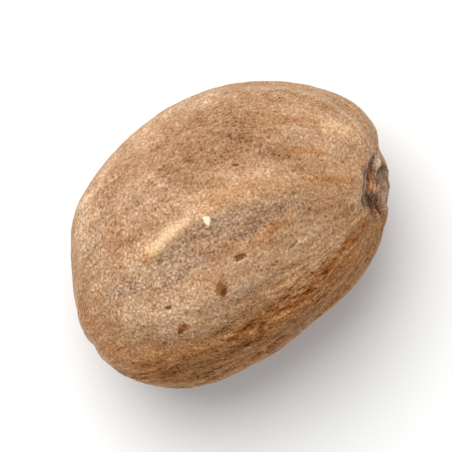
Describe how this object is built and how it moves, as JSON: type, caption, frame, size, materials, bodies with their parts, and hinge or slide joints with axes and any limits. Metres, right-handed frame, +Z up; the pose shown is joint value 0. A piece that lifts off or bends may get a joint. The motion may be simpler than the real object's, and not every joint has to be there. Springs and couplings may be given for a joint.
{
  "type": "whole nutmeg",
  "caption": "Whole dried nutmeg: a plump ridged seed with an oval scar at one end and a shallow dimple at the other, for a spice jar, grater or table scene.",
  "frame": {"origin": "middle of the bounding box's base, on the surface that the nutmeg lies on", "axes": "+X along the long axis towards the scar end, +Z up"},
  "size_m": [0.027, 0.0196, 0.0192],
  "materials": {
    "skin": "matte, dry, finely grained and dusted"
  },
  "bodies": {
    "root": {"nutmeg": "skin"}
  },
  "joints": []
}
